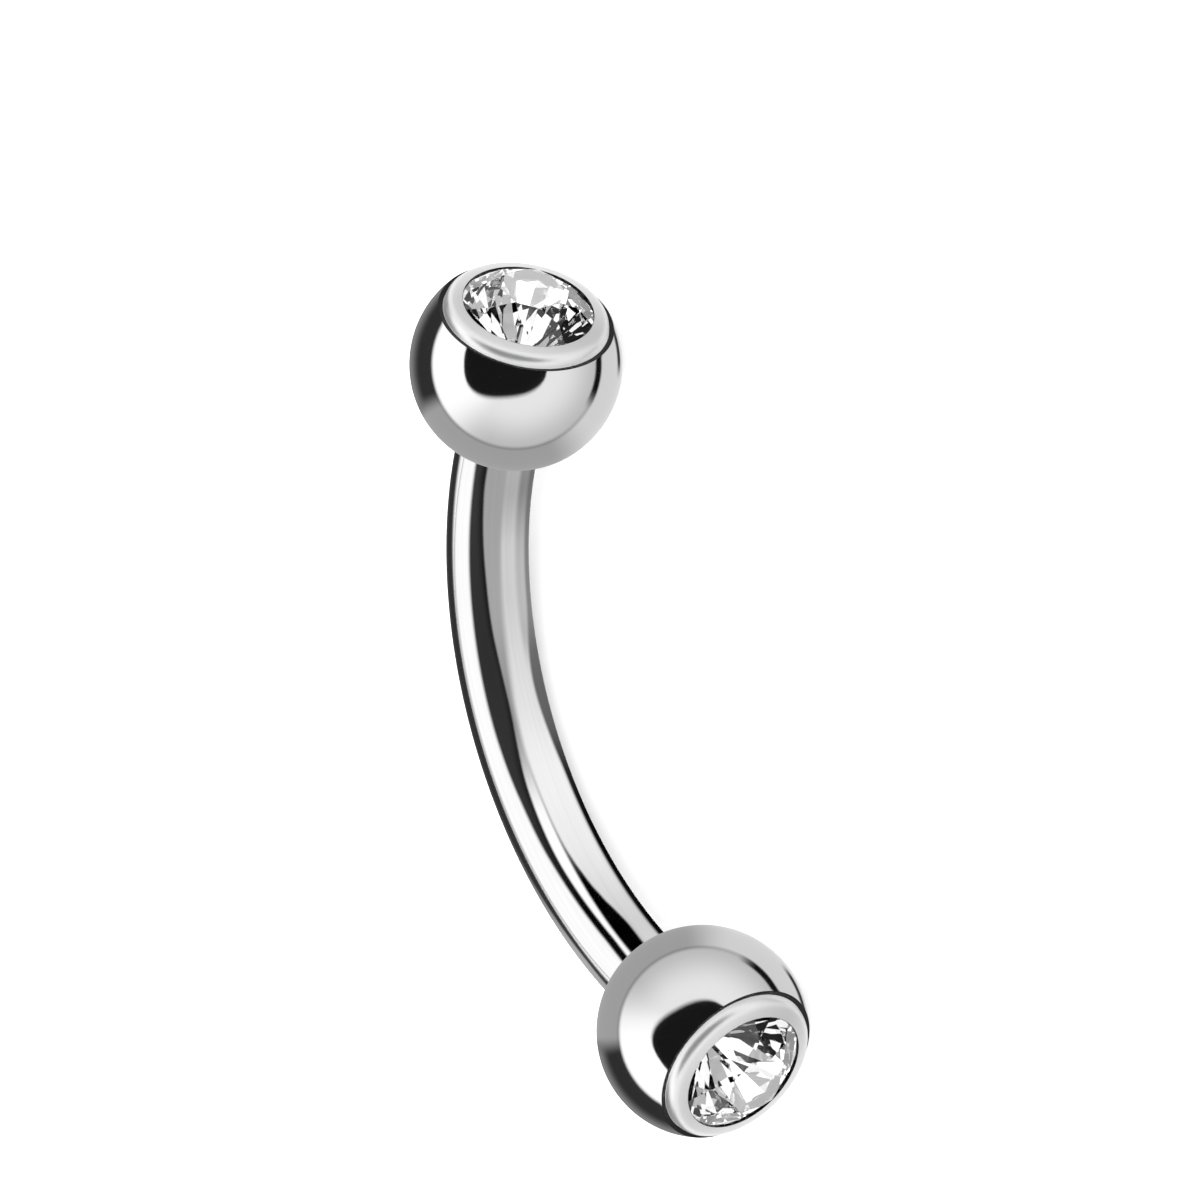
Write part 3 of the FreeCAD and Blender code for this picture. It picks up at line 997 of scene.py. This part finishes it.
# The line and the blur of the flag's darker core, and the share of its light that it keeps.
FLAG_CORE = (((0.05, -0.25), (0.33, -0.08), (0.45, 0.0), (0.6, -0.2)), 0.1)
FLAG_CORE_SHARE = 0.3
BRIGHTEST = 1.6
# Hairlines along the bar: how fine they are across and along it, and how much they change.
HAIRS_ACROSS, HAIRS_ALONG, HAIRS_DEPTH = 14.0, 1.5, 0.22


def bar_tent(maker, direction):
    """Brightness of the strip lights and dark flags along the bar.

    half is the facing of the steel that shows this direction to the camera, place how far it is
    along the bend, from 0 at the upper ball to 1 at the lower one, and side how far it is
    across the bar, from -1 at its left edge to 1 at its right one.
    """
    half = maker.vector_math("ADD", direction, tuple(TO_VIEWER))
    half = maker.vector_math("NORMALIZE", half)
    bend = (maker.dot(half, CHORD) / maker.dot(half, BULGE)).math("ARCTANGENT")
    cosine, sine = bend.math("COSINE"), bend.math("SINE")
    place = (0.5 - bend * (0.5 / HALF_BEND)).math("MAXIMUM", 0.0).math("MINIMUM", 1.0)
    along = cosine * CHORD.dot(TO_VIEWER) - sine * BULGE.dot(TO_VIEWER)
    width = (1.0 - along * along).math("SQRT")
    chord_side = maker.dot(half, CHORD.cross(TO_VIEWER))
    bulge_side = maker.dot(half, BULGE.cross(TO_VIEWER))
    side = (chord_side * cosine - bulge_side * sine) / width

    def along_bar(points, low, high):
        """A number as it is, or a smooth curve through (place, number) points."""
        return points if isinstance(points, float) else maker.curve(place, points, low, high)

    def shade(shares):
        if isinstance(shares, float):
            return lit(shares)
        return maker.curve(place, [(at, lit(shown)) for at, shown in shares], 0.0, BRIGHTEST)

    def right_of(line, blur):
        """0 to the left of a line and 1 to its right."""
        from_line = side - along_bar(line, -1.0, 1.0)
        return maker.smooth(from_line / along_bar(blur, 0.0, 1.0), -1.0, 1.0)

    level = shade(LEFT_RIM)
    for band in BAR_BANDS:
        line, blur, shares, fade = band
        light, over = shade(shares), right_of(line, blur)
        if band is FLAG:
            light = maker.between(light, light * FLAG_CORE_SHARE, right_of(*FLAG_CORE))
        if fade:
            over = over * maker.smooth(place, *fade)
        level = maker.between(level, light, over)
    hairs = maker.one("ShaderNodeCombineXYZ", [side * HAIRS_ACROSS, place * HAIRS_ALONG])
    hairlines = maker.noise(hairs, 1.0, detail=3.0)
    return level * (hairlines * HAIRS_DEPTH + (1.0 - HAIRS_DEPTH / 2))


def make_tent(name, pattern, radius, receiver):
    """A light tent that only one piece sees: a lamp whose light is linked to that receiver."""
    material, maker = new_material(name)
    place = maker.add("ShaderNodeTexCoord")[OBJECT_PLACE]
    strength = pattern(maker, maker.vector_math("NORMALIZE", place))
    glow = maker.one("ShaderNodeEmission", {"Strength": strength})
    clear = maker.one("ShaderNodeBsdfTransparent")
    both = maker.one("ShaderNodeAddShader", [glow, clear])
    maker.show(both)
    material.cycles.emission_sampling = "NONE"
    form = bmesh.new()
    bmesh.ops.create_icosphere(form, subdivisions=TENT_SUBDIVISIONS, radius=radius)
    mesh = bpy.data.meshes.new(name)
    form.to_mesh(mesh)
    form.free()
    mesh.materials.append(material)
    tent = new_object(name, mesh)
    tent.visible_camera = False
    tent.visible_diffuse = False
    tent.visible_shadow = False
    group = bpy.data.collections.new(f"lit_by_{name}")
    group.objects.link(receiver)
    tent.light_linking.receiver_collection = group


def make_tents(stage):
    """A tent for each piece. Those of the lower end are the upper end's, mirrored and turned."""
    cosine, sine = math.cos(stage.lower_turn), math.sin(stage.lower_turn)
    ways = {
        "upper": {"right_way": IMAGE_RIGHT, "up_way": IMAGE_UP},
        "lower": {
            "right_way": IMAGE_RIGHT * cosine + IMAGE_UP * sine,
            "up_way": IMAGE_RIGHT * sine - IMAGE_UP * cosine,
        },
    }
    tents = [("bar_tent", bar_tent, "polished_bar")]
    for side in SIDES:
        ball_pattern = functools.partial(ball_tent, **ways[side])
        stone_pattern = functools.partial(stone_tent, **ways[side])
        tents.append((f"{side}_ball_tent", ball_pattern, f"{side}_polished_ball"))
        tents.append((f"{side}_stone_tent", stone_pattern, f"{side}_brilliant"))
    for number, (name, pattern, piece) in enumerate(tents):
        radius = stage.tent_radius * (1 + number * TENT_STEP)
        make_tent(name, pattern, radius, bpy.data.objects[piece])
    # The bar and the balls don't show in mirror images.
    for piece in ("polished_bar", *(f"{side}_polished_ball" for side in SIDES)):
        bpy.data.objects[piece].visible_glossy = False


def make_camera(stage):
    seen = BALL_CENTRE["upper"] - BALL_CENTRE["lower"]
    seen -= TO_VIEWER * seen.dot(TO_VIEWER)
    view_width = seen.length / stage.balls_apart
    data = bpy.data.cameras.new("photo_camera")
    data.type = "ORTHO"
    data.ortho_scale = view_width
    camera = bpy.data.objects.new("photo_camera", data)
    bpy.context.scene.collection.objects.link(camera)
    middle = (BALL_CENTRE["upper"] + BALL_CENTRE["lower"]) / 2
    shift = IMAGE_UP * stage.balls_below - IMAGE_RIGHT * stage.balls_right
    aim = middle + shift * view_width
    camera.rotation_mode = "QUATERNION"
    turn = Matrix((IMAGE_RIGHT, IMAGE_UP, TO_VIEWER)).transposed()
    camera.rotation_quaternion = turn.to_quaternion()
    camera.location = aim + TO_VIEWER * stage.camera_distance
    data.clip_start = stage.camera_distance / CLIP_RANGE
    data.clip_end = stage.camera_distance * CLIP_RANGE
    bpy.context.scene.camera = camera


# Operators and panel


def dress(piece, body, node):
    """The piece moves with a body and stands for a CAD node, which is hidden."""
    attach(piece, body)
    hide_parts(node)


class BARBELL_OT_bar(bpy.types.Operator):
    """Make the bent bar with its posts"""

    bl_idname = "barbell.make_bar"
    bl_label = "Bent bar"

    def execute(self, context):
        scene = context.scene
        piece = make_bar(scene, steel_material(scene.barbell_finish))
        dress(piece, "bar", "curved_bar")
        return {"FINISHED"}


class BARBELL_OT_balls(bpy.types.Operator):
    """Make the two collared balls"""

    bl_idname = "barbell.make_balls"
    bl_label = "Collared balls"

    def execute(self, context):
        scene = context.scene
        material = bpy.data.materials["polished_surgical_steel"]
        for side in SIDES:
            piece = make_ball(scene, side, material)
            dress(piece, f"{side}_end", f"{side}_ball")
        return {"FINISHED"}


class BARBELL_OT_stones(bpy.types.Operator):
    """Make the two round brilliants"""

    bl_idname = "barbell.make_stones"
    bl_label = "Round brilliants"

    def execute(self, context):
        scene = context.scene
        finish = scene.barbell_finish
        tree = stone_tree(crystal_material(finish), foil_material(finish))
        for side in SIDES:
            piece = make_stone(scene, side, tree)
            dress(piece, f"{side}_end", f"{side}_stone")
        return {"FINISHED"}


class BARBELL_OT_stage(bpy.types.Operator):
    """Make the floor, the light and the camera"""

    bl_idname = "barbell.make_stage"
    bl_label = "Stage"

    def execute(self, context):
        scene = context.scene
        make_floor(scene.barbell_stage, scene.barbell_finish)
        make_world(scene.barbell_stage)
        make_tents(scene.barbell_stage)
        make_camera(scene.barbell_stage)
        scene.view_settings.view_transform = "Standard"
        return {"FINISHED"}


class BARBELL_PT_panel(bpy.types.Panel):
    """Lists the pieces of the barbell and their sizes"""

    bl_label = "Barbell"
    bl_idname = "BARBELL_PT_panel"
    bl_space_type = "VIEW_3D"
    bl_region_type = "UI"
    bl_category = "Barbell"

    def draw(self, context):
        for operator in OPERATORS:
            self.layout.operator(operator.bl_idname)
        for name in GROUPS:
            group = getattr(context.scene, name)
            box = self.layout.box()
            for key in group.__annotations__:
                box.prop(group, key)


OPERATORS = (BARBELL_OT_bar, BARBELL_OT_balls, BARBELL_OT_stones, BARBELL_OT_stage)
GROUPS = {
    "barbell_bar": BarbellBarSizes,
    "barbell_ball": BarbellBallSizes,
    "barbell_stone": BarbellStoneSizes,
    "barbell_finish": BarbellFinish,
    "barbell_stage": BarbellStage,
}
CLASSES = (*GROUPS.values(), *OPERATORS, BARBELL_PT_panel)


def register():
    for item in CLASSES:
        bpy.utils.register_class(item)
    for name, group in GROUPS.items():
        setattr(bpy.types.Scene, name, PointerProperty(type=group))


def unregister():
    for name in GROUPS:
        delattr(bpy.types.Scene, name)
    for item in reversed(CLASSES):
        bpy.utils.unregister_class(item)


def main():
    register()
    bpy.ops.barbell.make_bar()
    bpy.ops.barbell.make_balls()
    bpy.ops.barbell.make_stones()
    bpy.ops.barbell.make_stage()


if __name__ == "__main__":
    main()
